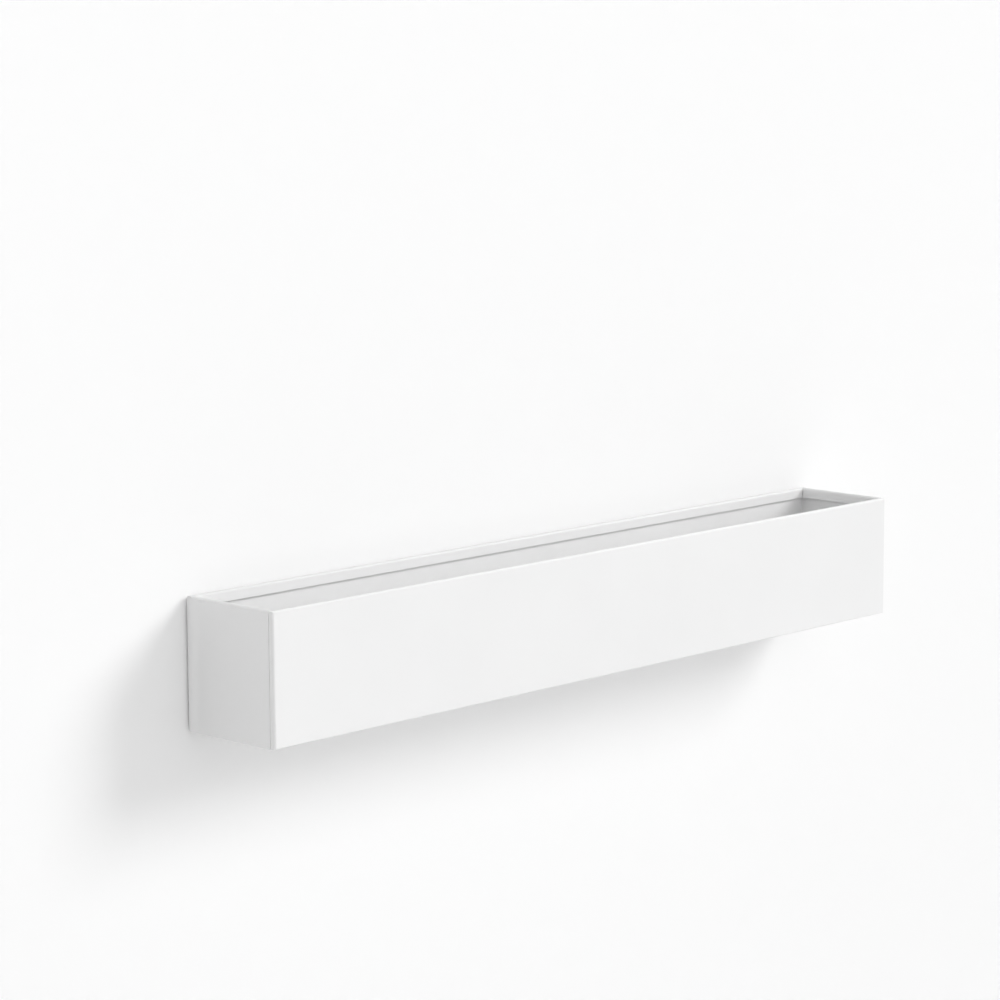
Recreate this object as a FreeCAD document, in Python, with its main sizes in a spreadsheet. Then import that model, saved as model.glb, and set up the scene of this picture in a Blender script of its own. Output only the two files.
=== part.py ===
import FreeCAD, Part
import math
import os

import Sketcher
from FreeCAD import Placement, Rotation, Vector

# Record display shelf: a trough of folded sheet steel that hangs on two wall screws.
# Frame in millimetres: +X along the shelf, -Y out of the wall into the room, +Z up.
# The origin lies on the wall, midway between the axes of the two wall screws.

doc = FreeCAD.newDocument("record_display_shelf")
sheet_of_sizes = doc.addObject("Spreadsheet::Sheet", "Sizes")


class Length:
    """A length that knows its value and the spreadsheet expression that drives it."""

    def __init__(self, value, text):
        self.value = value
        self.text = text

    def joined(self, sign, other, value):
        return Length(value, f"({self.text} {sign} {as_text(other)})")

    def __add__(self, other):
        return self.joined("+", other, self.value + as_value(other))

    def __sub__(self, other):
        return self.joined("-", other, self.value - as_value(other))

    def __mul__(self, factor):
        return self.joined("*", factor, self.value * factor)

    def __truediv__(self, divisor):
        return self.joined("/", divisor, self.value / divisor)

    def __neg__(self):
        return self * -1


def as_value(item):
    return item.value if isinstance(item, Length) else item


def as_text(item):
    return item.text if isinstance(item, Length) else repr(item)


def size(name, value):
    """Write one driving dimension into the next row of the sheet."""
    row = len(sheet_rows) + 1
    sheet_rows.append(name)
    sheet_of_sizes.set(f"A{row}", name.replace("_", " "))
    sheet_of_sizes.set(f"B{row}", str(value))
    sheet_of_sizes.setAlias(f"B{row}", name)
    return Length(value, f"Sizes.{name}")


sheet_rows = []

# Trough, outside sizes
tray_length = size("tray_length", 672.0)
tray_depth = size("tray_depth", 87.0)
tray_height = size("tray_height", 95.0)

# Sheet metal
sheet = size("sheet", 1.2)
bend_inside = size("bend_inside", 0.2)
corner_bend = size("corner_bend", 2.3)
hem_drop = size("hem_drop", 8.0)
hem_gap = size("hem_gap", 1.4)
corner_gap = size("corner_gap", 0.4)
angle_leg = size("angle_leg", 12.0)
angle_headroom = size("angle_headroom", 24.0)

# Hanging on the wall
wall_gap = size("wall_gap", 2.0)
screw_spacing = size("screw_spacing", 406.4)
screw_drop = size("screw_drop", 26.0)
lift = size("lift", 11.0)
slide_clearance = size("slide_clearance", 0.3)
entry_clearance = size("entry_clearance", 0.6)

# Wall screws and their plugs
screw_shank = size("screw_shank", 4.5)
screw_head = size("screw_head", 9.0)
screw_head_height = size("screw_head_height", 2.8)
screw_head_edge = size("screw_head_edge", 1.2)
screw_crown = size("screw_crown", 6.0)
screw_length = size("screw_length", 42.0)
screw_point = size("screw_point", 5.0)
screw_tip = size("screw_tip", 0.6)
recess_span = size("recess_span", 5.0)
recess_arm = size("recess_arm", 1.2)
recess_depth = size("recess_depth", 1.6)
plug_diameter = size("plug_diameter", 8.0)
plug_length = size("plug_length", 40.0)
plug_taper = size("plug_taper", 2.0)
plug_collar = size("plug_collar", 11.0)
plug_collar_height = size("plug_collar_height", 0.8)
plug_slit = size("plug_slit", 1.2)
plug_neck = size("plug_neck", 12.0)
thread_clearance = size("thread_clearance", 0.05)

# Bolts and weld nuts of the angles that hold the ends
bolt_thread = size("bolt_thread", 3.0)
bolt_length = size("bolt_length", 6.0)
bolt_head = size("bolt_head", 5.7)
bolt_head_height = size("bolt_head_height", 1.65)
bolt_crown = size("bolt_crown", 3.4)
bolt_socket = size("bolt_socket", 2.0)
bolt_socket_depth = size("bolt_socket_depth", 1.0)
bolt_clearance = size("bolt_clearance", 0.2)
bolt_inset = size("bolt_inset", 8.0)
floor_bolt_spacing = size("floor_bolt_spacing", 50.0)
nut_across_flats = size("nut_across_flats", 7.0)
nut_height = size("nut_height", 2.4)

# Pads between the back and the wall
pad_width = size("pad_width", 12.0)
pad_taper = size("pad_taper", 0.5)
pad_inset = size("pad_inset", 40.0)
pad_margin = size("pad_margin", 14.0)

# Places worked out from the sizes
nothing = Length(0.0, "0")
end_face = tray_length / 2
end_inside = end_face - sheet
back = -wall_gap
front = back - tray_depth
rim = screw_drop
bottom = rim - tray_height
bend_outside = bend_inside + sheet
hem_width = sheet * 2 + hem_gap
hem_radius = hem_width / 2
hem_base = rim - hem_radius
corner_relief = bend_outside + corner_gap
inner_front = front + sheet
inner_back = back - sheet
inner_floor = bottom + sheet
angle_front = inner_front + corner_relief
angle_back = inner_back - corner_relief
angle_foot = inner_floor + angle_leg + corner_gap
angle_top = rim - angle_headroom
plate_front = front + hem_width + corner_gap
end_hem_back = back - hem_width - corner_gap
screw_places = [screw_spacing / -2, screw_spacing / 2]
bolt_side = end_face - bolt_inset
floor_bolt_middle = back - tray_depth / 2
floor_bolt_places = [floor_bolt_middle - floor_bolt_spacing / 2, floor_bolt_middle + floor_bolt_spacing / 2]
back_bolt_height = (angle_foot + angle_top) / 2
bolt_hole = bolt_thread / 2 + bolt_clearance
back_cut = wall_gap + sheet * 2 + hem_gap

# The local Z axis of a turned piece, laid along Y
INTO_ROOM = Rotation(Vector(1, 0, 0), 90)
INTO_WALL = Rotation(Vector(1, 0, 0), -90)


def new_body(label):
    body = doc.addObject("PartDesign::Body", label)
    body.Label = label
    return body


def new_sketch(body, name, role, offset=None):
    """Add a sketch on one of the body's own origin planes, moved along the plane's normal."""
    sketch = body.newObject("Sketcher::SketchObject", f"{body.Label}_{name}")
    plane = next(item for item in body.Origin.OriginFeatures if item.Role == role)
    sketch.AttachmentSupport = (plane, "")
    sketch.MapMode = "FlatFace"
    if offset is not None:
        sketch.AttachmentOffset = Placement(Vector(0, 0, offset.value), Rotation())
        sketch.setExpression("AttachmentOffset.Base.z", offset.text)
    return sketch


def drive(sketch, kind, places, length):
    """Add one driven dimension to a sketch and tie it to the sheet."""
    index = sketch.addConstraint(Sketcher.Constraint(kind, *places, length.value))
    sketch.setExpression(f"Constraints[{index}]", length.text)


def pin_point(sketch, curve, end, across, up):
    """Fix one point of a curve by its two distances from the sketch's origin."""
    origin = (-1, 1)
    drive(sketch, "DistanceX", (*origin, curve, end), across)
    drive(sketch, "DistanceY", (*origin, curve, end), up)


def outline(sketch, corners):
    """Draw a closed outline of straight lines through corners given as pairs of lengths."""
    points = [Vector(across.value, up.value, 0) for across, up in corners]
    after = points[1:] + points[:1]
    lines = [sketch.addGeometry(Part.LineSegment(a, b)) for a, b in zip(points, after)]
    for line, following in zip(lines, lines[1:] + lines[:1]):
        sketch.addConstraint(Sketcher.Constraint("Coincident", line, 2, following, 1))
    for line, (across, up) in zip(lines, corners):
        pin_point(sketch, line, 1, across, up)


def rectangle(sketch, left, right, low, high):
    outline(sketch, [(left, low), (right, low), (right, high), (left, high)])


def hexagon(sketch, across_flats):
    corner = across_flats / math.sqrt(3)
    turns = [math.radians(30 + 60 * step) for step in range(6)]
    outline(sketch, [(corner * math.cos(turn), corner * math.sin(turn)) for turn in turns])


def circle(sketch, across, up, radius):
    centre = Vector(across.value, up.value, 0)
    ring = sketch.addGeometry(Part.Circle(centre, Vector(0, 0, 1), radius.value))
    pin_point(sketch, ring, 3, across, up)
    drive(sketch, "Radius", (ring,), radius)


def half_ring(sketch, across, up, radius, over):
    """Draw half a circle over or under its centre and return it with its two ends, right then left."""
    centre = Vector(across.value, up.value, 0)
    whole = Part.Circle(centre, Vector(0, 0, 1), radius.value)
    start = 0 if over else math.pi
    arc = sketch.addGeometry(Part.ArcOfCircle(whole, start, start + math.pi))
    pin_point(sketch, arc, 3, across, up)
    drive(sketch, "Radius", (arc,), radius)
    for end in (1, 2):
        sketch.addConstraint(Sketcher.Constraint("Horizontal", arc, end, arc, 3))
    return (arc, 1, 2) if over else (arc, 2, 1)


def join_ends(sketch, first, first_end, second, second_end):
    """Draw the straight line between the ends of two arcs."""
    start = sketch.getPoint(first, first_end)
    end = sketch.getPoint(second, second_end)
    line = sketch.addGeometry(Part.LineSegment(start, end))
    sketch.addConstraint(Sketcher.Constraint("Coincident", line, 1, first, first_end))
    sketch.addConstraint(Sketcher.Constraint("Coincident", line, 2, second, second_end))
    return line


def quarter_ring(sketch, across, up, radius, start):
    """Draw a quarter circle from a start angle in degrees and return it."""
    centre = Vector(across.value, up.value, 0)
    whole = Part.Circle(centre, Vector(0, 0, 1), radius.value)
    arc = sketch.addGeometry(Part.ArcOfCircle(whole, math.radians(start), math.radians(start + 90)))
    pin_point(sketch, arc, 3, across, up)
    drive(sketch, "Radius", (arc,), radius)
    level, upright = (1, 2) if start % 180 == 0 else (2, 1)
    sketch.addConstraint(Sketcher.Constraint("Horizontal", arc, level, arc, 3))
    sketch.addConstraint(Sketcher.Constraint("Vertical", arc, upright, arc, 3))
    return arc


def run_to(sketch, first, first_end, across, up, second, second_end):
    """Draw two straight lines from the end of one arc, by way of a pinned corner, to the end of another."""
    corner = Vector(across.value, up.value, 0)
    near = sketch.addGeometry(Part.LineSegment(sketch.getPoint(first, first_end), corner))
    far = sketch.addGeometry(Part.LineSegment(corner, sketch.getPoint(second, second_end)))
    sketch.addConstraint(Sketcher.Constraint("Coincident", near, 1, first, first_end))
    sketch.addConstraint(Sketcher.Constraint("Coincident", near, 2, far, 1))
    sketch.addConstraint(Sketcher.Constraint("Coincident", far, 2, second, second_end))
    pin_point(sketch, far, 1, across, up)


def slot(sketch, across, high, low, radius):
    """Draw an upright slot between two centre heights."""
    top, top_right, top_left = half_ring(sketch, across, high, radius, over=True)
    foot, foot_right, foot_left = half_ring(sketch, across, low, radius, over=False)
    join_ends(sketch, top, top_right, foot, foot_right)
    join_ends(sketch, top, top_left, foot, foot_left)


def hem(sketch, outer, inwards):
    """Draw the section of a hem: the sheet turned over at the rim and back down inside."""
    middle = outer + hem_radius * inwards
    leaf_outer = outer + hem_width * inwards
    leaf_inner = leaf_outer - sheet * inwards
    leaf_end = rim - hem_drop
    outside, *outside_ends = half_ring(sketch, middle, hem_base, hem_radius, over=True)
    inside, *inside_ends = half_ring(sketch, middle, hem_base, hem_gap / 2, over=True)
    leaf, wall = (0, 1) if inwards > 0 else (1, 0)
    join_ends(sketch, outside, outside_ends[wall], inside, inside_ends[wall])
    start = sketch.getPoint(outside, outside_ends[leaf])
    low_outer = Vector(leaf_outer.value, leaf_end.value, 0)
    low_inner = Vector(leaf_inner.value, leaf_end.value, 0)
    end = sketch.getPoint(inside, inside_ends[leaf])
    down = sketch.addGeometry(Part.LineSegment(start, low_outer))
    along = sketch.addGeometry(Part.LineSegment(low_outer, low_inner))
    up = sketch.addGeometry(Part.LineSegment(low_inner, end))
    sketch.addConstraint(Sketcher.Constraint("Coincident", outside, outside_ends[leaf], down, 1))
    sketch.addConstraint(Sketcher.Constraint("Coincident", down, 2, along, 1))
    sketch.addConstraint(Sketcher.Constraint("Coincident", along, 2, up, 1))
    sketch.addConstraint(Sketcher.Constraint("Coincident", up, 2, inside, inside_ends[leaf]))
    pin_point(sketch, along, 1, leaf_outer, leaf_end)
    pin_point(sketch, along, 2, leaf_inner, leaf_end)


def pad(body, name, sketch, length, symmetric=False):
    feature = body.newObject("PartDesign::Pad", f"{body.Label}_{name}")
    feature.Profile = sketch
    feature.SideType = "Symmetric" if symmetric else "One side"
    feature.Length = length.value
    feature.setExpression("Length", length.text)
    doc.recompute()
    return feature


def pocket(body, name, sketch, depth, reverse=False):
    """Cut a sketch into the body and make sure that it took metal away."""
    before = body.Shape.Volume
    feature = body.newObject("PartDesign::Pocket", f"{body.Label}_{name}")
    feature.Profile = sketch
    feature.Reversed = reverse
    feature.Length = depth.value
    feature.setExpression("Length", depth.text)
    doc.recompute()
    if body.Shape.Volume >= before:
        raise RuntimeError(f"{feature.Label} cuts nothing")
    return feature


def revolve(body, name, sketch):
    feature = body.newObject("PartDesign::Revolution", f"{body.Label}_{name}")
    feature.Profile = sketch
    feature.ReferenceAxis = (sketch, ["V_Axis"])
    feature.Angle = 360
    doc.recompute()
    return feature


def edges_through(shape, points):
    """Name the edges of a shape that pass through the given points."""
    near = 1e-4
    names = []
    for point in points:
        probe = Part.Vertex(point)
        hits = [n for n, edge in enumerate(shape.Edges, start=1) if edge.distToShape(probe)[0] < near]
        names += [f"Edge{n}" for n in hits]
    return names


def fillet(body, name, points, radius):
    base = body.Tip
    feature = body.newObject("PartDesign::Fillet", f"{body.Label}_{name}")
    feature.Base = (base, edges_through(base.Shape, points))
    feature.Radius = radius.value
    feature.setExpression("Radius", radius.text)
    doc.recompute()
    return feature


def set_down(item, places, rotation=Rotation()):
    """Place a sub-part at three driven coordinates."""
    item.Placement = Placement(Vector(*[place.value for place in places]), rotation)
    for axis, place in zip("xyz", places):
        item.setExpression(f"Placement.Base.{axis}", place.text)


def make_tray():
    """Front, floor and back in one folded sheet: hemmed at both rims, returned at the front corners."""
    body = new_body("tray")
    section = new_sketch(body, "section", "YZ_Plane")
    outline(section, [
        (front, hem_base), (front, bottom), (back, bottom), (back, hem_base),
        (inner_back, hem_base), (inner_back, inner_floor),
        (inner_front, inner_floor), (inner_front, hem_base),
    ])
    pad(body, "channel", section, end_inside * 2, symmetric=True)
    outer_folds = [Vector(0, fold.value, bottom.value) for fold in (front, back)]
    inner_folds = [Vector(0, fold.value, inner_floor.value) for fold in (inner_front, inner_back)]
    fillet(body, "outer_folds", outer_folds, bend_outside)
    fillet(body, "inner_folds", inner_folds, bend_inside)

    hems = new_sketch(body, "hem_sections", "YZ_Plane")
    hem(hems, front, 1)
    hem(hems, back, -1)
    pad(body, "hems", hems, end_inside * 2, symmetric=True)

    for side_name, low_x in (("left", -end_face), ("right", end_inside)):
        returned = new_sketch(body, f"{side_name}_return_section", "YZ_Plane", low_x)
        rim_round, rim_back, rim_front = half_ring(
            returned, front + hem_radius, hem_base, hem_radius, over=True)
        fold = quarter_ring(returned, front + bend_outside, bottom + bend_outside, bend_outside, 180)
        join_ends(returned, rim_round, rim_front, fold, 1)
        run_to(returned, fold, 2, front + hem_width, bottom, rim_round, rim_back)
        pad(body, f"{side_name}_return", returned, sheet)

    corners = new_sketch(body, "front_corners", "XY_Plane", bottom)
    for side, start in ((-1, 180), (1, 270)):
        bend = quarter_ring(corners, (end_face - corner_bend) * side, front + corner_bend, corner_bend, start)
        run_to(corners, bend, 2, end_face * side, front, bend, 1)
    pocket(body, "corner_bends", corners, tray_height, reverse=True)

    rounds = new_sketch(body, "back_rounds", "XZ_Plane")
    for place in screw_places:
        circle(rounds, place, -lift, screw_head / 2 + entry_clearance)
    for side in (-1, 1):
        circle(rounds, bolt_side * side, back_bolt_height, bolt_hole)
    pocket(body, "back_holes", rounds, back_cut, reverse=True)

    slots = new_sketch(body, "back_slots", "XZ_Plane")
    for place in screw_places:
        slot(slots, place, nothing, -lift, screw_shank / 2 + slide_clearance)
    pocket(body, "keyhole_slots", slots, back_cut, reverse=True)

    floor_rounds = new_sketch(body, "floor_rounds", "XY_Plane")
    for side in (-1, 1):
        for place in floor_bolt_places:
            circle(floor_rounds, bolt_side * side, place, bolt_hole)
    pocket(body, "floor_holes", floor_rounds, -bottom)
    return body


def make_left_end():
    """Flat plate behind the tray's left return, flush with it, with its rim hemmed inwards."""
    body = new_body("left_end")
    outside = -end_face
    plate = new_sketch(body, "plate_outline", "YZ_Plane", outside)
    outline(plate, [
        (plate_front, bottom), (back, bottom), (back, rim), (end_hem_back, rim),
        (end_hem_back, hem_base), (plate_front, hem_base),
    ])
    pad(body, "plate", plate, sheet)
    middle = (outside + sheet / 2).value
    fillet(body, "foot_corner", [Vector(middle, back.value, bottom.value)], bend_outside)
    fillet(body, "rim_corner", [Vector(middle, back.value, rim.value)], hem_radius)

    hem_section = new_sketch(body, "hem_section", "XZ_Plane", -end_hem_back)
    hem(hem_section, outside, 1)
    pad(body, "hem", hem_section, end_hem_back - plate_front)
    return body


def angle_section(sketch, base, upwards):
    """Draw an L with one leg on the end plate and one on the tray, and return its two fold corners."""
    plate = -end_inside
    leg_face = plate + sheet
    leg_end = plate + angle_leg
    tray_face = base + sheet * upwards
    tray_end = base + angle_leg * upwards
    outline(sketch, [
        (plate, base), (leg_end, base), (leg_end, tray_face),
        (leg_face, tray_face), (leg_face, tray_end), (plate, tray_end),
    ])
    return (plate.value, base.value), (leg_face.value, tray_face.value)


def make_floor_angle():
    """Folded angle between the left end and the floor, with two bolt holes."""
    body = new_body("left_floor_angle")
    section = new_sketch(body, "section", "XZ_Plane", -angle_back)
    (out_x, out_z), (in_x, in_z) = angle_section(section, inner_floor, 1)
    pad(body, "angle", section, angle_back - angle_front)
    middle = floor_bolt_middle.value
    fillet(body, "outer_fold", [Vector(out_x, middle, out_z)], bend_outside)
    fillet(body, "inner_fold", [Vector(in_x, middle, in_z)], bend_inside)
    rounds = new_sketch(body, "bolt_rounds", "XY_Plane")
    for place in floor_bolt_places:
        circle(rounds, -bolt_side, place, bolt_hole)
    pocket(body, "bolt_holes", rounds, -bottom)
    return body


def make_back_angle():
    """Folded angle between the left end and the back, with one bolt hole."""
    body = new_body("left_back_angle")
    section = new_sketch(body, "section", "XY_Plane", angle_foot)
    (out_x, out_y), (in_x, in_y) = angle_section(section, inner_back, -1)
    pad(body, "angle", section, angle_top - angle_foot)
    middle = back_bolt_height.value
    fillet(body, "outer_fold", [Vector(out_x, out_y, middle)], bend_outside)
    fillet(body, "inner_fold", [Vector(in_x, in_y, middle)], bend_inside)
    rounds = new_sketch(body, "bolt_round", "XZ_Plane")
    circle(rounds, -bolt_side, back_bolt_height, bolt_hole)
    pocket(body, "bolt_hole", rounds, back_cut, reverse=True)
    return body


def mirrored(label, source):
    """A left-hand piece, mirrored across the middle of the shelf."""
    mirror = doc.addObject("Part::Mirroring", label)
    mirror.Label = label
    mirror.Source = source
    mirror.Normal = Vector(1, 0, 0)
    mirror.Base = Vector(0, 0, 0)
    return mirror


def make_bolt(label):
    """Button-head bolt with a hexagon socket: head below the origin, thread up along +Z."""
    body = new_body(label)
    turned = new_sketch(body, "turned_section", "XZ_Plane")
    outline(turned, [
        (nothing, -bolt_head_height), (bolt_crown / 2, -bolt_head_height), (bolt_head / 2, nothing),
        (bolt_thread / 2, nothing), (bolt_thread / 2, bolt_length), (nothing, bolt_length),
    ])
    revolve(body, "turned", turned)
    socket = new_sketch(body, "socket_outline", "XY_Plane", -bolt_head_height)
    hexagon(socket, bolt_socket)
    pocket(body, "socket", socket, bolt_socket_depth, reverse=True)
    return body


def make_nut(label):
    """Hexagon weld nut that stands on the inside of an angle, its bore along +Z."""
    body = new_body(label)
    flats = new_sketch(body, "flats_outline", "XY_Plane")
    hexagon(flats, nut_across_flats)
    pad(body, "flats", flats, nut_height)
    bore = new_sketch(body, "bore_outline", "XY_Plane")
    circle(bore, nothing, nothing, bolt_thread / 2 + thread_clearance)
    pocket(body, "bore", bore, nut_height, reverse=True)
    return body


def make_wall_screw(label):
    """Pan-head wood screw with a cross recess: head below the origin, point up along +Z."""
    body = new_body(label)
    turned = new_sketch(body, "turned_section", "XZ_Plane")
    outline(turned, [
        (nothing, -screw_head_height), (screw_crown / 2, -screw_head_height),
        (screw_head / 2, -screw_head_edge), (screw_head / 2, nothing), (screw_shank / 2, nothing),
        (screw_shank / 2, screw_length - screw_point), (screw_tip / 2, screw_length),
        (nothing, screw_length),
    ])
    revolve(body, "turned", turned)
    cross = new_sketch(body, "recess_outline", "XY_Plane", -screw_head_height)
    tip = recess_span / 2
    side = recess_arm / 2
    outline(cross, [
        (tip, -side), (tip, side), (side, side), (side, tip), (-side, tip), (-side, side),
        (-tip, side), (-tip, -side), (-side, -side), (-side, -tip), (side, -tip), (side, -side),
    ])
    pocket(body, "recess", cross, recess_depth, reverse=True)
    return body


def make_wall_plug(label):
    """Plastic wall plug: collar on the wall below the origin, slit body up along +Z."""
    body = new_body(label)
    turned = new_sketch(body, "turned_section", "XZ_Plane")
    bore = screw_shank / 2 + thread_clearance
    outline(turned, [
        (bore, -plug_collar_height), (plug_collar / 2, -plug_collar_height), (plug_collar / 2, nothing),
        (plug_diameter / 2, nothing), (plug_diameter / 2, plug_length - plug_taper),
        (plug_diameter / 2 - plug_taper / 2, plug_length), (bore, plug_length),
    ])
    revolve(body, "turned", turned)
    slits = new_sketch(body, "slit_outline", "XZ_Plane", -plug_diameter)
    rectangle(slits, plug_slit / -2, plug_slit / 2, plug_neck, plug_length + plug_taper)
    pocket(body, "slit", slits, plug_diameter * 2, reverse=True)
    return body


def make_pad(label):
    """Square rubber pad: its wide face on the back of the tray, its narrow face on the wall."""
    block = doc.addObject("Part::Wedge", label)
    block.Label = label
    wide = pad_width / 2
    narrow = pad_width / 2 - pad_taper
    for axis in "XZ":
        block.setExpression(f"{axis}min", (-wide).text)
        block.setExpression(f"{axis}max", wide.text)
        block.setExpression(f"{axis}2min", (-narrow).text)
        block.setExpression(f"{axis}2max", narrow.text)
    block.setExpression("Ymin", nothing.text)
    block.setExpression("Ymax", wall_gap.text)
    return block


SIDES = (("left", -1), ("right", 1))

sub_parts = [make_tray()]
for left_piece in (make_left_end(), make_floor_angle(), make_back_angle()):
    right_piece = mirrored(left_piece.Label.replace("left", "right"), left_piece)
    sub_parts += [left_piece, right_piece]

for side_name, side in SIDES:
    for end_name, place in zip(("front", "rear"), floor_bolt_places):
        bolt = make_bolt(f"{side_name}_floor_bolt_{end_name}")
        set_down(bolt, (bolt_side * side, place, bottom))
        nut = make_nut(f"{side_name}_floor_nut_{end_name}")
        set_down(nut, (bolt_side * side, place, inner_floor + sheet))
        sub_parts += [bolt, nut]
    bolt = make_bolt(f"{side_name}_back_bolt")
    set_down(bolt, (bolt_side * side, back, back_bolt_height), INTO_ROOM)
    nut = make_nut(f"{side_name}_back_nut")
    set_down(nut, (bolt_side * side, inner_back - sheet, back_bolt_height), INTO_ROOM)
    sub_parts += [bolt, nut]
    for end_name, height in (("lower", bottom + pad_margin), ("upper", rim - pad_margin)):
        wall_pad = make_pad(f"{side_name}_pad_{end_name}")
        set_down(wall_pad, ((end_face - pad_inset) * side, back, height))
        sub_parts.append(wall_pad)
    screw = make_wall_screw(f"{side_name}_wall_screw")
    set_down(screw, (screw_spacing / 2 * side, inner_back - slide_clearance, nothing), INTO_WALL)
    plug = make_wall_plug(f"{side_name}_wall_plug")
    set_down(plug, (screw_spacing / 2 * side, nothing, nothing), INTO_WALL)
    sub_parts += [screw, plug]

doc.recompute()
for item in doc.Objects:
    if "Invalid" in item.State or "Error" in item.State:
        raise RuntimeError(f"{item.Label} did not build: {item.State}")
for item in sub_parts:
    if item.Shape.isNull() or not item.Shape.isValid() or len(item.Shape.Solids) != 1:
        raise RuntimeError(f"{item.Label} is not one sound solid")

os.makedirs("parts", exist_ok=True)
for item in sub_parts:
    item.Shape.exportStep(f"parts/{item.Label}.step")
    box = item.Shape.BoundBox
    extent = f"{box.XLength:.2f} x {box.YLength:.2f} x {box.ZLength:.2f} mm"
    print(f"{item.Label}: {extent}, {item.Shape.Volume:.1f} cubic mm")
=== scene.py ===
# %% [markdown]
# # Record display shelf
#
# The shelf is an open trough of white powder-coated sheet steel that hangs on a wall by two keyholes.
# The CAD model is the frame of this scene: its sheet-metal nodes are shown as they are and get their
# finish here, and the small turned and moulded fixings are made again with the threads, barbs and
# recesses that are too fine for the CAD model.

import math

import bmesh
import bpy
from mathutils import Matrix, Vector


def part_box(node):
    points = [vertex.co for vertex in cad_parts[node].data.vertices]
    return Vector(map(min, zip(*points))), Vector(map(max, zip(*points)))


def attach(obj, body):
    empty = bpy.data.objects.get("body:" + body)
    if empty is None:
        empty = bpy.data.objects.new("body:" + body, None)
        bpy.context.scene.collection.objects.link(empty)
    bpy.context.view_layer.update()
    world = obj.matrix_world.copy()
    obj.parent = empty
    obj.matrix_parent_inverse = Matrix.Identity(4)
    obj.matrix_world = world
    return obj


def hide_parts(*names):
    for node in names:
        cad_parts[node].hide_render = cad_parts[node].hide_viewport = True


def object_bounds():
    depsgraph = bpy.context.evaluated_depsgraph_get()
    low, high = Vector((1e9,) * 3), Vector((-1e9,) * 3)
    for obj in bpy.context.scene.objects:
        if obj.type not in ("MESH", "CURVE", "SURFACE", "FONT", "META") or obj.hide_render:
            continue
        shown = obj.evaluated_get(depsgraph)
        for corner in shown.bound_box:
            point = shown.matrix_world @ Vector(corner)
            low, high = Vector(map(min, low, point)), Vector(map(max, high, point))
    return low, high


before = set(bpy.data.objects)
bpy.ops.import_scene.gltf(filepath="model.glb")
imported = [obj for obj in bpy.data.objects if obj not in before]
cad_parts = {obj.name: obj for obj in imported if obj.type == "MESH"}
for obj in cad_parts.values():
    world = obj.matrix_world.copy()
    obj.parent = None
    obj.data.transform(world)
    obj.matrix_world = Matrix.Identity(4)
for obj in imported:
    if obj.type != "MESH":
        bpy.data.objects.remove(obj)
cad_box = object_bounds()
MM = 0.001
cad_extent = cad_box[1] - cad_box[0]
print("nodes:", len(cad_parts), "box in mm:", [round(side / MM, 1) for side in cad_extent])

# %% [markdown]
# ## Camera
#
# A long lens stands to the left of the shelf and a little above it. It could be placed by eye, but a
# camera has six numbers for its place and turn and one for its lens, and the straight edges of the
# trough are enough to solve for all seven, so the solved numbers are used. The lens in pixels is turned
# to millimetres on Blender's 36 mm sensor.

# %% Place the camera
IMAGE_PIXELS = 1000
SENSOR_MM = 36.0
LENS_PIXELS = 3288.8
CAMERA_PLACE = Vector((-1785.4, -1694.0, 436.6)) * MM
yaw, pitch, roll = (math.radians(angle) for angle in (46.120, 8.845, -0.241))

ahead = Vector((math.sin(yaw) * math.cos(pitch), math.cos(yaw) * math.cos(pitch), -math.sin(pitch)))
level_right = Vector((math.cos(yaw), -math.sin(yaw), 0.0))
level_up = level_right.cross(ahead)
right = level_right * math.cos(roll) + level_up * math.sin(roll)
up = level_up * math.cos(roll) - level_right * math.sin(roll)

lens = bpy.data.cameras.new("photo_lens")
lens.sensor_width = SENSOR_MM
lens.lens = LENS_PIXELS / IMAGE_PIXELS * SENSOR_MM
camera = bpy.data.objects.new("photo_camera", lens)
turn = Matrix((right, up, -ahead)).transposed()
camera.matrix_world = Matrix.Translation(CAMERA_PLACE) @ turn.to_4x4()
bpy.context.scene.collection.objects.link(camera)
bpy.context.scene.camera = camera
bpy.context.scene.view_settings.view_transform = "Standard"
print("lens in mm:", round(lens.lens, 1))

# %% [markdown]
# ## Helpers for materials
#
# Colours are written as the hex values that a paint chart or a colour picker gives, which are sRGB.
# Shaders reckon in linear light, so one function turns the one into the other. A second function adds a
# node, sets its options and fills its sockets: a value is set on the socket, and another node's output
# is linked to it. Nodes could be set up line by line in each material, but then every material repeats
# the same lines. Two short functions start a material and link its finished shader.

# %% Colour and node helpers
def linear(hex_colour):
    """Turn an sRGB hex colour into the linear colour that a shader socket takes."""
    shares = [int(hex_colour[place:place + 2], 16) / 255 for place in (1, 3, 5)]
    return [s / 12.92 if s <= 0.04045 else ((s + 0.055) / 1.055) ** 2.4 for s in shares] + [1.0]


def add_node(material, kind, options=None, sockets=None):
    """Add one node with its options, and set or link its sockets."""
    tree = material.node_tree
    node = tree.nodes.new(kind)
    for name, value in (options or {}).items():
        setattr(node, name, value)
    for name, value in (sockets or {}).items():
        if isinstance(value, bpy.types.NodeSocket):
            tree.links.new(value, node.inputs[name])
        else:
            node.inputs[name].default_value = value
    return node


def new_material(name):
    """Start a material from an empty node tree that has only its output."""
    material = bpy.data.materials.new(name)
    material.use_nodes = True
    material.node_tree.nodes.clear()
    add_node(material, "ShaderNodeOutputMaterial")
    return material


def surface(material, shader):
    """Link a finished shader to the material's output."""
    output = material.node_tree.nodes["Material Output"]
    material.node_tree.links.new(shader.outputs[0], output.inputs["Surface"])


print("a white of #F4F4F4 reads", [round(share, 3) for share in linear("#F4F4F4")])

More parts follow.
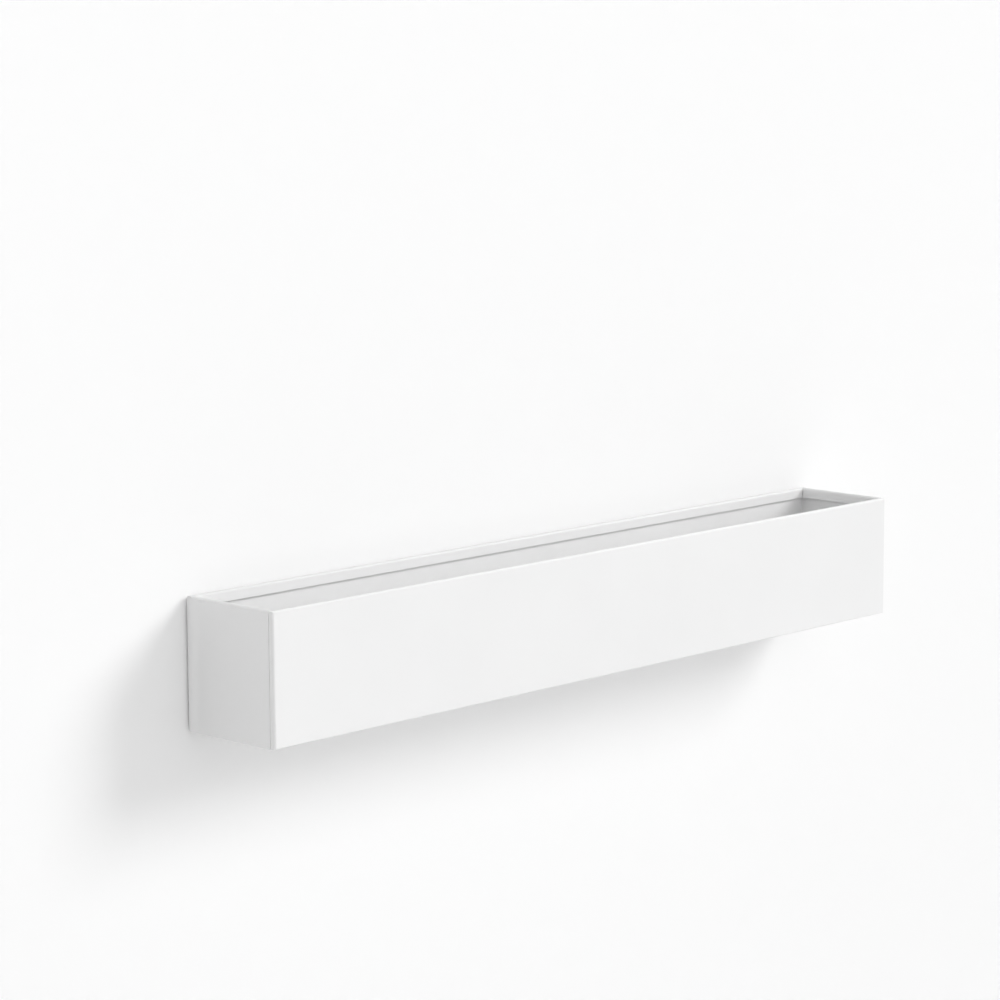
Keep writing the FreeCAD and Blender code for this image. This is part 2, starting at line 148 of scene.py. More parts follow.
# %% [markdown]
# ## Powder coat
#
# The trough is folded from steel sheet and then coated with white polyester powder, which melts and
# flows in an oven. That leaves a matt film with a very slight orange peel, a little thicker in some
# places than in others, and it rounds every cut edge. The film could be one flat white, but then the
# long front looks like paper. So three things vary: the white drifts by a shade over a hand's breadth,
# the little gloss that it has comes and goes, and a fine bump gives the orange peel.

# %% Matt white powder coat
def make_powder_coat():
    """Baked polyester powder: a matt white with a wide, weak sheen that the orange peel breaks up."""
    coat = new_material("matt_white_powder_coat")
    place = add_node(coat, "ShaderNodeTexCoord").outputs["Object"]

    drift_mm = 90.0
    drift = add_node(coat, "ShaderNodeTexNoise", sockets={
        "Vector": place, "Scale": 1 / (drift_mm * MM), "Detail": 2.0, "Roughness": 0.45})
    shade = add_node(coat, "ShaderNodeValToRGB", sockets={"Fac": drift.outputs["Fac"]})
    shade.color_ramp.elements[0].color = linear("#EFEFEF")
    shade.color_ramp.elements[1].color = linear("#F4F4F4")

    gloss_mm = 14.0
    gloss = add_node(coat, "ShaderNodeTexNoise", sockets={
        "Vector": place, "Scale": 1 / (gloss_mm * MM), "Detail": 3.0})
    sheen = add_node(coat, "ShaderNodeMapRange", sockets={
        "Value": gloss.outputs["Fac"], "From Min": 0.3, "From Max": 0.7, "To Min": 0.54, "To Max": 0.62})

    # Real orange peel is about 1 mm across; it is drawn at 2 mm so that it shows at this distance.
    peel_mm = 2.0
    peel = add_node(coat, "ShaderNodeTexNoise", sockets={
        "Vector": place, "Scale": 1 / (peel_mm * MM), "Detail": 1.5, "Roughness": 0.4})
    relief = add_node(coat, "ShaderNodeBump", sockets={
        "Height": peel.outputs["Fac"], "Strength": 0.25, "Distance": 0.03 * MM})

    surface(coat, add_node(coat, "ShaderNodeBsdfPrincipled", sockets={
        "Base Color": shade.outputs["Color"], "Roughness": sheen.outputs["Result"],
        "Normal": relief.outputs["Normal"], "IOR": 1.5}))
    return coat


powder_coat = make_powder_coat()
print("made", powder_coat.name)

# %% [markdown]
# ## Plated and stainless steel
#
# Three kinds of hardware hold the trough together and to the wall. The socket bolts are stainless
# steel, cold headed from wire, which leaves a warm grey with fine drawing marks. The weld nuts and the
# wall screws are zinc plated and passivated, which gives a bluish silver with cloudy patches a
# millimetre or two wide. One function makes both, because only their colours, their patch size and
# their gloss differ.

# %% Hardware metals
def make_metal(name, dull, bright, patch_mm, smooth, rough):
    """A bare or plated metal: two close greys in patches, with the gloss following the patches."""
    metal = new_material(name)
    place = add_node(metal, "ShaderNodeTexCoord").outputs["Object"]
    patches = add_node(metal, "ShaderNodeTexNoise", sockets={
        "Vector": place, "Scale": 1 / (patch_mm * MM), "Detail": 4.0, "Roughness": 0.6})
    tint = add_node(metal, "ShaderNodeValToRGB", sockets={"Fac": patches.outputs["Fac"]})
    tint.color_ramp.elements[0].position = 0.3
    tint.color_ramp.elements[0].color = linear(dull)
    tint.color_ramp.elements[1].position = 0.7
    tint.color_ramp.elements[1].color = linear(bright)
    polish = add_node(metal, "ShaderNodeMapRange", sockets={
        "Value": patches.outputs["Fac"], "From Min": 0.3, "From Max": 0.7,
        "To Min": rough, "To Max": smooth})
    # Real drawing marks are a few hundredths of a millimetre wide; they are drawn wider so that they show.
    scratch_mm = 0.6
    scratches = add_node(metal, "ShaderNodeTexNoise", sockets={
        "Vector": place, "Scale": 1 / (scratch_mm * MM), "Detail": 2.0})
    relief = add_node(metal, "ShaderNodeBump", sockets={
        "Height": scratches.outputs["Fac"], "Strength": 0.2, "Distance": 0.02 * MM})
    surface(metal, add_node(metal, "ShaderNodeBsdfPrincipled", sockets={
        "Base Color": tint.outputs["Color"], "Metallic": 1.0,
        "Roughness": polish.outputs["Result"], "Normal": relief.outputs["Normal"]}))
    return metal


stainless = make_metal(
    "cold_headed_stainless_steel", "#A8A59F", "#C6C3BD", patch_mm=0.8, smooth=0.24, rough=0.36)
zinc = make_metal("zinc_plated_steel", "#B4B9BF", "#D3D6D8", patch_mm=1.6, smooth=0.26, rough=0.44)
print("made", stainless.name, "and", zinc.name)

# %% [markdown]
# ## Nylon and rubber
#
# The wall plugs are injection moulded in grey nylon. The melt runs from the collar to the tip, so the
# shade and the gloss are streaked along the plug. The pads between the back and the wall are cut from
# moulded rubber sheet: nearly black, with no shine and a fine pebbled skin. Both could be plain greys,
# but the streaks and the pebbles are what the eye knows these materials by. A streak is noise that is
# stretched along the plug, and a pebble is a cell of a Voronoi pattern.

# %% Moulded nylon and rubber
def make_nylon():
    """Moulded nylon: a soft grey shine, with faint flow streaks along the plug."""
    nylon = new_material("moulded_grey_nylon")
    place = add_node(nylon, "ShaderNodeTexCoord").outputs["Object"]
    streak_mm, streak_length_mm = 0.7, 9.0
    squeezed = add_node(nylon, "ShaderNodeMapping", sockets={
        "Vector": place, "Scale": (1 / (streak_mm * MM), 1 / (streak_length_mm * MM), 1 / (streak_mm * MM))})
    streaks = add_node(nylon, "ShaderNodeTexNoise", sockets={
        "Vector": squeezed.outputs["Vector"], "Scale": 1.0, "Detail": 3.0})
    tint = add_node(nylon, "ShaderNodeValToRGB", sockets={"Fac": streaks.outputs["Fac"]})
    tint.color_ramp.elements[0].color = linear("#6C7075")
    tint.color_ramp.elements[1].color = linear("#878B90")
    sheen = add_node(nylon, "ShaderNodeMapRange", sockets={
        "Value": streaks.outputs["Fac"], "From Min": 0.3, "From Max": 0.7, "To Min": 0.38, "To Max": 0.52})
    surface(nylon, add_node(nylon, "ShaderNodeBsdfPrincipled", sockets={
        "Base Color": tint.outputs["Color"], "Roughness": sheen.outputs["Result"], "IOR": 1.53,
        "Subsurface Weight": 0.08, "Subsurface Scale": 0.6 * MM}))
    return nylon


def make_rubber():
    """Moulded rubber sheet: nearly black and dull, with a pebbled skin."""
    rubber = new_material("moulded_black_rubber")
    place = add_node(rubber, "ShaderNodeTexCoord").outputs["Object"]
    # Real pebbles are about half a millimetre across; they are drawn wider so that they show.
    pebble_mm = 1.2
    pebbles = add_node(rubber, "ShaderNodeTexVoronoi", sockets={
        "Vector": place, "Scale": 1 / (pebble_mm * MM)})
    tint = add_node(rubber, "ShaderNodeValToRGB", sockets={"Fac": pebbles.outputs["Distance"]})
    tint.color_ramp.elements[0].color = linear("#1C1C1D")
    tint.color_ramp.elements[1].color = linear("#2B2B2B")
    relief = add_node(rubber, "ShaderNodeBump", sockets={
        "Height": pebbles.outputs["Distance"], "Strength": 0.5, "Distance": 0.15 * MM})
    surface(rubber, add_node(rubber, "ShaderNodeBsdfPrincipled", sockets={
        "Base Color": tint.outputs["Color"], "Roughness": 0.82, "IOR": 1.52,
        "Normal": relief.outputs["Normal"]}))
    return rubber


nylon = make_nylon()
rubber = make_rubber()
print("made", nylon.name, "and", rubber.name)

# %% [markdown]
# ## Finish on the CAD nodes
#
# The folded sheet, the nuts and the pads already have their true shape, so they only get a material
# and softer edges. The edges could be rounded in the CAD model, but a cut edge of sheet has a radius of
# a few tenths of a millimetre, which is a matter of looks. Blender does it with three modifiers: one
# joins the vertices that the file keeps apart at sharp edges, one makes each flat side a single face
# again, and the last rounds the edges between them.

# %% Dress the CAD nodes
SIDES = ("left", "right")


def soften(node, edge_mm):
    """Join the node's doubled vertices, make its flat sides whole and round its sharp edges."""
    weld = node.modifiers.new("joined", "WELD")
    weld.merge_threshold = 0.001 * MM
    whole = node.modifiers.new("whole_sides", "DECIMATE")
    whole.decimate_type = "DISSOLVE"
    whole.angle_limit = math.radians(0.5)
    bevel = node.modifiers.new("soft_edges", "BEVEL")
    bevel.width = edge_mm * MM
    bevel.segments = 3
    bevel.limit_method = "ANGLE"
    bevel.angle_limit = math.radians(40)
    bevel.harden_normals = True


def dress(node_name, material, edge_mm):
    """Give a CAD node its material and its soft edges."""
    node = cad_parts[node_name]
    node.data.materials.clear()
    node.data.materials.append(material)
    soften(node, edge_mm)


dress("tray", powder_coat, edge_mm=0.25)
for side in SIDES:
    for place in ("end", "floor_angle", "back_angle"):
        dress(f"{side}_{place}", powder_coat, edge_mm=0.25)
    for place in ("floor_nut_front", "floor_nut_rear", "back_nut"):
        dress(f"{side}_{place}", zinc, edge_mm=0.2)
    for place in ("pad_lower", "pad_upper"):
        dress(f"{side}_{place}", rubber, edge_mm=0.3)
print("dressed", sum(bool(node.modifiers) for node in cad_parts.values()), "nodes")

# %% [markdown]
# ## Heads with a recess
#
# Screws and bolts are headed and rolled from wire, so they are round about one axis, apart from the
# recess that is punched into the head and the thread that is rolled on to the shank. Both could be cut
# with booleans, but those leave slivers and open seams. So each fixing is one closed skin that is spun
# about Z from rows: a row says how far out and how high the skin lies at each angle. A circle is a plain
# row, and a recess is a row in the shape of a hexagon or a cross. Over the dome, each row is a little
# rounder than the one before.

# %% Rows of a head
DOME_SHARES = (0, 0.2, 0.4, 0.6, 0.75, 0.87, 0.95, 1)


def plain(radius, height):
    """A round row of a turned piece."""
    return lambda angle: (radius, height)


def recessed_head(lip, depth, draft, radius, crown, rise, rim):
    """Rows from the floor of a punched recess, up its wall and over the domed head to the rim.

    The recess reaches out to lip at each angle, and its floor is draft times as wide. The head is flat as
    far out as crown, and from there it falls from rise to rim, two heights above its underside.
    """
    def on_dome(out):
        share = max(0.0, (out - crown) / (radius - crown))
        return -rim - (rise - rim) * math.sqrt(max(0.0, 1 - share ** 2))

    def recess_floor(angle):
        return lip(angle) * draft, depth - rise

    def over(share):
        def row(angle):
            out = lip(angle) + (radius - lip(angle)) * share
            return out, on_dome(out)
        return row

    return [recess_floor] + [over(share) for share in DOME_SHARES]


print("a head has", len(DOME_SHARES) + 1, "rows")

# %% [markdown]
# ## Rolled threads
#
# Dies press a groove into the wire and raise a ridge beside it, which climbs one pitch in a turn. The
# ridge could be a helix swept round the shank, but that is a second skin that only touches the first.
# Here each row of the shank swells where the ridge passes, so the thread belongs to the skin. It runs out
# over one pitch at both ends, as it does where the dies stop.

# %% Rows of a thread
# Both are shares of a pitch: from the middle of the ridge to its foot, and the width of its flank.
RIDGE_FOOT, RIDGE_FLANK = 0.42, 0.36


def threaded(core, crest, pitch, start, end, steps):
    """Rows of a thread between the radii core and crest, with so many steps in a pitch."""
    def at(height):
        runout = max(0.0, min(1.0, (height - start) / pitch, (end - height) / pitch))

        def row(angle):
            turns = (height - start) / pitch - angle / (2 * math.pi)
            away = abs(turns - round(turns))
            ridge = max(0.0, min(1.0, (RIDGE_FOOT - away) / RIDGE_FLANK))
            return core + (crest - core) * ridge * runout, height
        return row

    count = int((end - start) / pitch * steps)
    return [at(start + (end - start) * step / count) for step in range(count + 1)]


print("a ridge is", 2 * RIDGE_FOOT, "of a pitch wide at its foot")

# %% [markdown]
# ## From rows to a skin
#
# Each row becomes a ring of vertices, and neighbouring rings are joined by four-sided faces. The first
# and the last ring are closed by one face each, so the skin has no hole. Blender's Screw modifier spins a
# profile too, but the same one at every angle. Faces that meet at a gentle angle are then shaded smooth,
# and the edges of the recess and of the rim stay crisp, as a punch and a die leave them.

# %% Spin rows into a skin
CRISP_DEGREES = 38


def finish_mesh(mesh, name):
    """Turn a bmesh into an object with outward faces and smooth shading on its round sides."""
    bmesh.ops.recalc_face_normals(mesh, faces=mesh.faces)
    data = bpy.data.meshes.new(name)
    mesh.to_mesh(data)
    mesh.free()
    data.shade_smooth()
    data.set_sharp_from_angle(angle=math.radians(CRISP_DEGREES))
    made = bpy.data.objects.new(name, data)
    bpy.context.scene.collection.objects.link(made)
    return made


def spin(name, rows, angles):
    """Spin rows about Z into one closed skin."""
    mesh = bmesh.new()
    rings = []
    for row in rows:
        places = [(angle, *row(angle)) for angle in angles]
        rings.append([mesh.verts.new((out * math.cos(turn), out * math.sin(turn), height))
                      for turn, out, height in places])
    sides = [(step, (step + 1) % len(angles)) for step in range(len(angles))]
    for low, high in zip(rings, rings[1:]):
        for a, b in sides:
            mesh.faces.new((low[a], low[b], high[b], high[a]))
    for end_ring in (rings[0], rings[-1]):
        mesh.faces.new(end_ring)
    return finish_mesh(mesh, name)


print("edges are crisp from", CRISP_DEGREES, "degrees")

# %% [markdown]
# ## Standing in for a CAD node
#
# A fixing that is made here takes the place of its CAD node, which is hidden and stays for contact. It
# could be moved as an object, but the CAD nodes sit at the origin and have their place in the mesh, so
# the fixing does the same. It rides on the body that its node rides on.

# %% Let a made piece stand in
def stand_for(made, node_name, material, body, place, turned):
    """Put a made piece where its CAD node is and let it stand for that node."""
    made.data.transform(Matrix.Translation(place) @ turned)
    made.data.materials.append(material)
    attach(made, body)
    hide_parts(node_name)


# %% [markdown]
# ## Socket bolts
#
# Each end is held by three small button-head bolts, two through the floor and one through the back.
# Their heads show when the shelf is seen from below or from behind: low domes with a hexagon socket.
# The CAD solid has a plain cone for a head, so a domed and threaded bolt of the same height and
# diameter takes its place. A polygon is easy to write as a row, because from the middle of a flat to a
# corner its reach grows with one over the cosine.

# %% Shape of a bolt
BOLT_HEAD, BOLT_RISE, BOLT_EDGE = 2.85 * MM, 1.65 * MM, 0.2 * MM
BOLT_THREAD, BOLT_THREAD_DEPTH, BOLT_PITCH, BOLT_CHAMFER = 1.5 * MM, 0.28 * MM, 0.5 * MM, 0.2 * MM
SOCKET_FLAT, SOCKET_DEPTH = 1.0 * MM, 1.0 * MM


def socket_reach(angle):
    """How far a hexagon socket reaches from its middle at an angle."""
    sixth = math.pi / 3
    return SOCKET_FLAT / math.cos((angle + sixth / 2) % sixth - sixth / 2)


def make_bolt(name, length):
    """A button-head bolt, upright, with the underside of its head at the origin."""
    core, seat = BOLT_THREAD - BOLT_THREAD_DEPTH, BOLT_HEAD * 0.98
    rows = recessed_head(
        lip=socket_reach, depth=SOCKET_DEPTH, draft=0.97,
        radius=BOLT_HEAD, crown=BOLT_HEAD * 0.45, rise=BOLT_RISE, rim=BOLT_EDGE)
    rows += [plain(seat, 0), plain(core, 0)]
    rows += threaded(core, BOLT_THREAD, BOLT_PITCH, BOLT_EDGE, length - BOLT_EDGE, steps=6)
    rows.append(plain(core - BOLT_CHAMFER, length))
    every_degrees = 10
    return spin(name, rows, [math.radians(turn) for turn in range(0, 360, every_degrees)])


print("socket across its corners in mm:", round(2 * socket_reach(math.pi / 6) / MM, 2))

# %% [markdown]
# ## Bolts in place
#
# The floor bolts go up into the trough and the back bolts go forward into it. Their places could be
# typed in, but each bolt's box in the CAD model gives its axis, its head and its length, so a bolt stays
# in its hole when the shelf is made in another size.

# %% Put the bolts in
UPRIGHT = Matrix.Identity(4)
INTO_ROOM = Matrix.Rotation(math.radians(90), 4, "X")

bolt_lengths = []
for side in SIDES:
    for place in ("floor_bolt_front", "floor_bolt_rear", "back_bolt"):
        node_name = f"{side}_{place}"
        low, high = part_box(node_name)
        under_head = (low + high) / 2
        if place == "back_bolt":
            under_head.y = high.y - BOLT_RISE
            turned, length = INTO_ROOM, under_head.y - low.y
        else:
            under_head.z = low.z + BOLT_RISE
            turned, length = UPRIGHT, high.z - under_head.z
        bolt = make_bolt(f"{node_name}_threaded", length)
        stand_for(bolt, node_name, stainless, "shelf", under_head, turned)
        bolt_lengths.append(round(length / MM, 2))
print("bolts:", len(bolt_lengths), "under the head in mm:", bolt_lengths)

# %% [markdown]
# ## Wall screws
#
# The keyholes of the back hang on two pan-head screws. From above, their heads show on the inside of
# the back: a low dome with a cross recess, and behind it a coarse wood thread that the plug hides. The
# head could stay the CAD cone, but it is what the eye finds inside an empty trough, so it is made with
# its dome, its tapered cross and its thread. The angles of the rows are chosen so that one falls on
# each corner of the cross.

# %% Shape of a wall screw
SCREW_HEAD, SCREW_RISE, SCREW_EDGE = 4.5 * MM, 2.8 * MM, 0.25 * MM
SCREW_SHANK, SCREW_SMOOTH, SCREW_PITCH = 2.25 * MM, 7.0 * MM, 2.2 * MM
SCREW_POINT, SCREW_TIP = 6.0 * MM, 0.12 * MM
CROSS_TIP, CROSS_SIDE, CROSS_DEPTH = 2.5 * MM, 0.62 * MM, 1.7 * MM
cross_corner = math.atan(CROSS_SIDE / CROSS_TIP)


def cross_reach(angle):
    """How far a cross recess reaches from its middle at an angle."""
    quarter = math.pi / 2
    turn = abs((angle + quarter / 2) % quarter - quarter / 2)
    return CROSS_TIP / math.cos(turn) if turn <= cross_corner + 1e-9 else CROSS_SIDE / math.sin(turn)


def cross_angles():
    """Angles all the way round, closer together across the arms of the cross."""
    one_side = [cross_corner / 2, cross_corner] + [math.radians(turn) for turn in (21, 29, 37)]
    arm = [math.radians(-45)] + [-turn for turn in reversed(one_side)] + [0] + one_side
    return [turn + quarter * math.pi / 2 for quarter in range(4) for turn in arm]


def make_wall_screw(name, length):
    """A pan-head wood screw, upright, with the underside of its head at the origin."""
    core, step_down = SCREW_SHANK * 0.7, 0.6 * MM
    thin = core * 0.6
    thread_end, taper = length - SCREW_POINT * 0.8, length - SCREW_POINT * 0.35
    rows = recessed_head(
        lip=cross_reach, depth=CROSS_DEPTH, draft=0.72,
        radius=SCREW_HEAD, crown=SCREW_HEAD * 0.3, rise=SCREW_RISE, rim=SCREW_RISE / 4)
    rows += [plain(SCREW_HEAD, -SCREW_EDGE), plain(SCREW_HEAD - SCREW_EDGE, 0)]
    rows += [plain(SCREW_SHANK, 0), plain(SCREW_SHANK, SCREW_SMOOTH)]
    rows += threaded(core, SCREW_SHANK, SCREW_PITCH, SCREW_SMOOTH + step_down, thread_end, steps=8)
    rows += [plain(thin, taper), plain(SCREW_TIP, length)]
    return spin(name, rows, cross_angles())


print("angles round a screw:", len(cross_angles()))

# %% [markdown]
# ## Screws in place
#
# A screw goes straight into the wall, with the back of the shelf between its head and the wall. As with
# the bolts, its box in the CAD model gives its place and its length.

# %% Put the wall screws in
INTO_WALL = Matrix.Rotation(math.radians(-90), 4, "X")

for side in SIDES:
    node_name = f"{side}_wall_screw"
    low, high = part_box(node_name)
    under_head = (low + high) / 2
    under_head.y = low.y + SCREW_RISE
    screw = make_wall_screw(f"{node_name}_threaded", high.y - under_head.y)
    stand_for(screw, node_name, zinc, "wall_fixings", under_head, INTO_WALL)
    print(node_name, "reaches", round(high.y / MM, 1), "mm into the wall")

# %% [markdown]
# ## Wall plugs
#
# A plug is a nylon sleeve that is split along most of its length, so that the screw spreads it in its
# hole. Barbs ring the outside, and a collar stops it at the face of the wall. The CAD solid is a smooth
# split tube. Two half sleeves on a short whole one would do, but then the three only touch. Here one
# skin is drawn ring by ring, each ring a little wider or narrower than the last, which gives the barbs.
# The angles leave out the width of the two slits.

# %% Outline of a plug
PLUG_BORE, PLUG_RADIUS, PLUG_COLLAR_RISE = 2.3 * MM, 4.0 * MM, 0.8 * MM
PLUG_NECK, PLUG_TAPER, PLUG_SLIT = 12.0 * MM, 2.0 * MM, 1.2 * MM
BARB_SPACING, BARB_DEPTH = 3.0 * MM, 0.55 * MM
STEPS_IN_HALF = 24


def plug_rings(collar, length):
    """Heights and radii of the plug's outside, and the index of the ring where the slits begin."""
    soft, step, shoulder = 0.25 * MM, 0.05 * MM, 0.2 * MM
    rings = [(-PLUG_COLLAR_RISE, collar - soft), (soft - PLUG_COLLAR_RISE, collar), (0, collar)]
    rings += [(step, PLUG_RADIUS), (PLUG_NECK, PLUG_RADIUS)]
    neck = len(rings) - 1
    height = PLUG_NECK + BARB_SPACING
    while height < length - PLUG_TAPER:
        rings += [(height, PLUG_RADIUS), (height + step, PLUG_RADIUS - BARB_DEPTH)]
        height += BARB_SPACING
    rings += [(length - PLUG_TAPER, PLUG_RADIUS - shoulder), (length, PLUG_RADIUS - PLUG_TAPER / 2)]
    return rings, neck


def plug_angles():
    """Angles round the two half sleeves, and the indices of the two angles that a slit follows."""
    half_slit = math.asin(PLUG_SLIT / 2 / PLUG_RADIUS)
    sweep = (math.pi - 2 * half_slit) / STEPS_IN_HALF
    angles = [start + half_slit + sweep * step
              for start in (-math.pi / 2, math.pi / 2) for step in range(STEPS_IN_HALF + 1)]
    return angles, (STEPS_IN_HALF, len(angles) - 1)


print("angles round a plug:", len(plug_angles()[0]))

# %% [markdown]
# ## Skin of a plug
#
# The outside and the bore are two skins over the same angles. A boolean could saw the slits into them,
# but it is cleaner never to put those faces in: past the neck the faces over the slits are left out. The
# edges that stay open are closed by walls between the outside and the bore, at both ends of the plug, at
# the bottom of each slit and along its sides.

# %% Close the skin of a plug
def make_plug(name, collar, length):
    """A barbed and split plug, upright, with the underside of its collar at the origin."""
    rings, neck = plug_rings(collar, length)
    angles, slits = plug_angles()
    count, last = len(angles), len(rings) - 1
    mesh = bmesh.new()
    bore_rings = [(height, PLUG_BORE) for height, _ in rings]
    skins = [[[mesh.verts.new((out * math.cos(turn), out * math.sin(turn), height)) for turn in angles]
              for height, out in layer] for layer in (rings, bore_rings)]

    def bridge(first, second):
        """Join two (ring, angle) places on the outside to the same places in the bore."""
        outer = [skins[0][ring][angle % count] for ring, angle in (first, second)]
        inner = [skins[1][ring][angle % count] for ring, angle in (second, first)]
        mesh.faces.new(outer + inner)

    for angle in range(count):
        top = neck if angle in slits else last
        for skin in skins:
            for ring in range(top):
                corners = [(ring, angle), (ring, angle + 1), (ring + 1, angle + 1), (ring + 1, angle)]
                mesh.faces.new([skin[level][turn % count] for level, turn in corners])
        bridge((0, angle), (0, angle + 1))
        bridge((top, angle), (top, angle + 1))
        for ring in range(top, last):
            bridge((ring, angle), (ring + 1, angle))
            bridge((ring, angle + 1), (ring + 1, angle + 1))
    return finish_mesh(mesh, name)


for side in SIDES:
    node_name = f"{side}_wall_plug"
    low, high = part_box(node_name)
    on_wall = (low + high) / 2
    on_wall.y = low.y + PLUG_COLLAR_RISE
    plug = make_plug(f"{node_name}_barbed", (high.x - low.x) / 2, high.y - on_wall.y)
    stand_for(plug, node_name, nylon, "wall_fixings", on_wall, INTO_WALL)
    print(node_name, "faces:", len(plug.data.polygons))

# %% [markdown]
# ## Stage paint
#
# The wall and the floor have a dead matt paint that shows from the front only, so that a camera behind
# the wall or under the floor still sees the shelf. The back of the shelf is 2 mm from the wall and would
# be black from behind. The wall could be taken away for that view, but the scene has to serve every view,
# so light that comes straight from the back of the shelf passes through the paint within the first few
# millimetres. Seen from the room the gap behind the shelf stays dark, because there the light has touched
# the wall before. To the camera the paint is brighter than it is to the shelf, which keeps the ground
# pale without more light.

# %% Matt stage paint
LET_THROUGH = 15 * MM


def make_stage_paint(name, colour, glow):
    """Dead matt paint, with a share of plain white that only the camera and reflections see."""
    paint = new_material(name)
    matt = add_node(paint, "ShaderNodeBsdfDiffuse", sockets={"Color": linear(colour)})
    white = add_node(paint, "ShaderNodeEmission", sockets={"Strength": 1.0})
    ray = add_node(paint, "ShaderNodeLightPath").outputs
    seen = add_node(paint, "ShaderNodeMath", {"operation": "MAXIMUM"}, {
        0: ray["Is Camera Ray"], 1: ray["Is Glossy Ray"]})
    share = add_node(paint, "ShaderNodeMath", {"operation": "MULTIPLY"}, {
        0: seen.outputs["Value"], 1: glow})
    lit = add_node(paint, "ShaderNodeMixShader", sockets={
        0: share.outputs["Value"], 1: matt.outputs["BSDF"], 2: white.outputs["Emission"]})
    near = add_node(paint, "ShaderNodeMath", {"operation": "LESS_THAN"}, {
        0: ray["Ray Length"], 1: LET_THROUGH})
    bounced_once = add_node(paint, "ShaderNodeMath", {"operation": "COMPARE"}, {
        0: ray["Ray Depth"], 1: 1.0, 2: 0.5})
    from_back = add_node(paint, "ShaderNodeMath", {"operation": "MULTIPLY"}, {
        0: near.outputs["Value"], 1: bounced_once.outputs["Value"]})
    behind = add_node(paint, "ShaderNodeNewGeometry").outputs["Backfacing"]
    gone = add_node(paint, "ShaderNodeMath", {"operation": "MAXIMUM"}, {
        0: behind, 1: from_back.outputs["Value"]})
    clear = add_node(paint, "ShaderNodeBsdfTransparent")
    surface(paint, add_node(paint, "ShaderNodeMixShader", sockets={
        0: gone.outputs["Value"], 1: lit.outputs["Shader"], 2: clear.outputs["BSDF"]}))
    return paint


wall_paint = make_stage_paint("matt_white_wall_paint", "#FBFBFB", glow=0.06)
floor_paint = make_stage_paint("matt_pale_floor_paint", "#D8D8D8", glow=0.7)
print("made", wall_paint.name, "and", floor_paint.name)

# %% [markdown]
# ## Wall and floor
#
# The shelf hangs, so it needs a wall to throw its shadow on as well as a floor. They could be one sheet
# with a curved bend, as in a photo studio, but each has a paint of its own, so they are two flat sheets.
# The floor's paint is a pale grey, because a white floor would light up the underside of the shelf and
# wash out the shadow below it.

# %% Build the stage
# In metres from the middle of the shelf: to each side, into the room, down to the floor and up.
STAGE_SIDE, STAGE_FRONT, STAGE_FLOOR, STAGE_TOP = 3.0, -5.0, -1.1, 2.2


def make_sheet(name, corners, paint):
    """A flat sheet of the stage, which shows on the side where its corners run anticlockwise."""
    data = bpy.data.meshes.new(name)
    data.from_pydata(corners, [], [(0, 1, 2, 3)])
    data.materials.append(paint)
    made = bpy.data.objects.new(name, data)
    bpy.context.scene.collection.objects.link(made)
    return made


floor_left, floor_right = (-STAGE_SIDE, 0, STAGE_FLOOR), (STAGE_SIDE, 0, STAGE_FLOOR)
wall = make_sheet("wall", [
    floor_left, floor_right, (STAGE_SIDE, 0, STAGE_TOP), (-STAGE_SIDE, 0, STAGE_TOP)], wall_paint)
floor = make_sheet("floor", [
    floor_left, (-STAGE_SIDE, STAGE_FRONT, STAGE_FLOOR),
    (STAGE_SIDE, STAGE_FRONT, STAGE_FLOOR), floor_right], floor_paint)
for sheet in (wall, floor):
    print(sheet.name, "faces", tuple(round(share) for share in sheet.data.polygons[0].normal))

# %% [markdown]
# ## Soft light
#
# The shelf stands in soft white light that comes mostly from the front. Large lamps could give it, but
# they would have to stay out of every view. So it comes from the world, which is brighter in front and
# behind than at the sides, because the ends of the trough are greyer than its front. Only the camera and
# reflections see the world as plain white.

# %% Soft light from the world
FRONT_LEVEL = 1.42
SIDE_LEVEL = 0.23

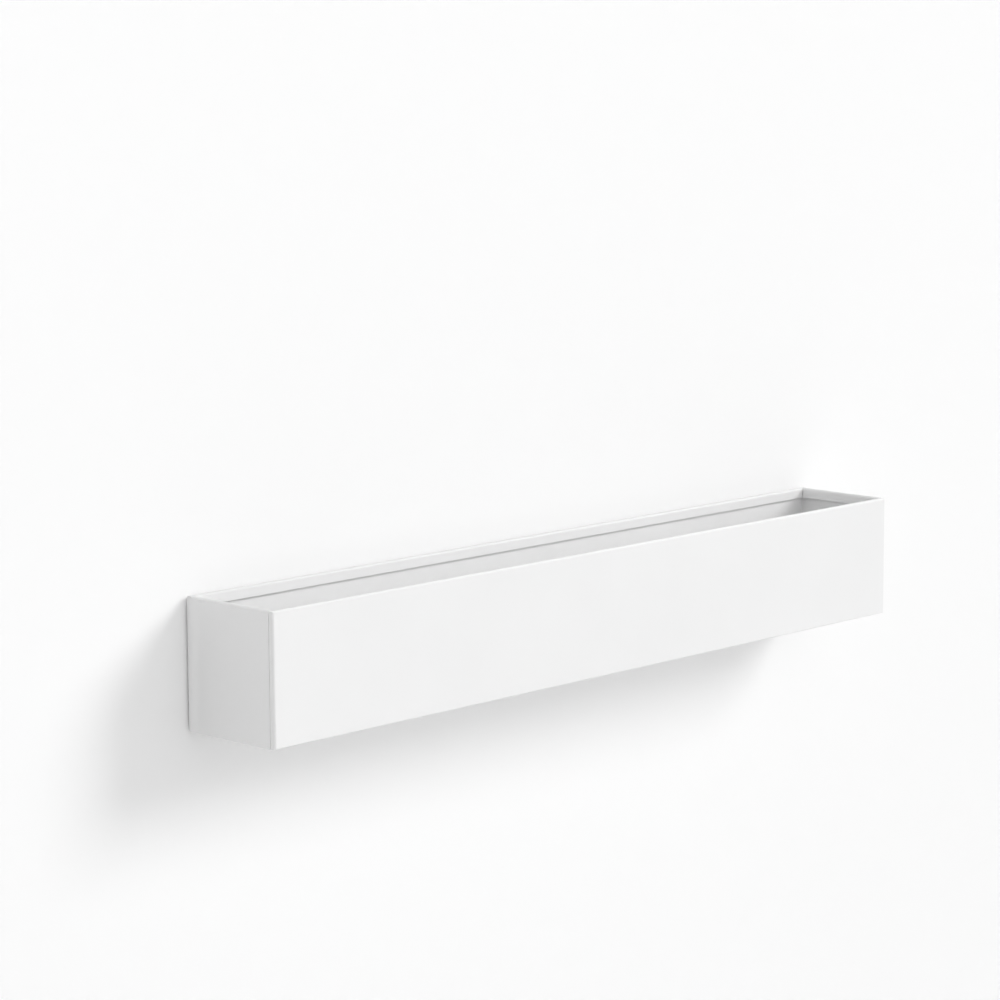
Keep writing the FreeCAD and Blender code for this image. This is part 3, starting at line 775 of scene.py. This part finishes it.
world = bpy.data.worlds.new("white_studio")
world.use_nodes = True
world.node_tree.nodes.clear()
ray = add_node(world, "ShaderNodeLightPath").outputs
direct = add_node(world, "ShaderNodeMath", {"operation": "MAXIMUM"}, {
    0: ray["Is Camera Ray"], 1: ray["Is Glossy Ray"]})
seen = add_node(world, "ShaderNodeMath", {"operation": "MAXIMUM"}, {
    0: direct.outputs["Value"], 1: ray["Is Transmission Ray"]})
toward = add_node(world, "ShaderNodeTexCoord").outputs["Generated"]
ahead_share = add_node(world, "ShaderNodeSeparateXYZ", sockets={"Vector": toward}).outputs["Y"]
facing = add_node(world, "ShaderNodeMath", {"operation": "MULTIPLY"}, {0: ahead_share, 1: ahead_share})
soft = add_node(world, "ShaderNodeMapRange", sockets={
    "Value": facing.outputs["Value"], "To Min": SIDE_LEVEL, "To Max": FRONT_LEVEL})
level = add_node(world, "ShaderNodeMapRange", sockets={
    "Value": seen.outputs["Value"], "To Min": soft.outputs["Result"], "To Max": 1.0})
sky = add_node(world, "ShaderNodeBackground", sockets={
    "Color": linear("#FFFFFF"), "Strength": level.outputs["Result"]})
output = add_node(world, "ShaderNodeOutputWorld")
world.node_tree.links.new(sky.outputs["Background"], output.inputs["Surface"])
bpy.context.scene.world = world
print("world level in front", FRONT_LEVEL, "and at the sides", SIDE_LEVEL)

# %% [markdown]
# ## Key lamp
#
# One large lamp stands high on the right and throws the shadow. A lamp close by would light one end of
# the front more than the other, and the front is equally bright from end to end, so the lamp is a sun. A
# wide disc softens the edge of its shadow. Its direction is read from that shadow, which falls to the
# left by about the shelf's depth and down by three quarters of it.

# %% Key lamp
KEY_LEVEL = 1.3
KEY_DISC_DEGREES = 24
KEY_TRAVEL = Vector((-1.0, 1.0, -0.75))

sun = bpy.data.lights.new("soft_key", "SUN")
sun.energy = KEY_LEVEL
sun.angle = math.radians(KEY_DISC_DEGREES)
key = bpy.data.objects.new("soft_key", sun)
key.rotation_mode = "QUATERNION"
key.rotation_quaternion = KEY_TRAVEL.to_track_quat("-Z", "Y")
bpy.context.scene.collection.objects.link(key)
print("key level", KEY_LEVEL, "from a disc of", KEY_DISC_DEGREES, "degrees")
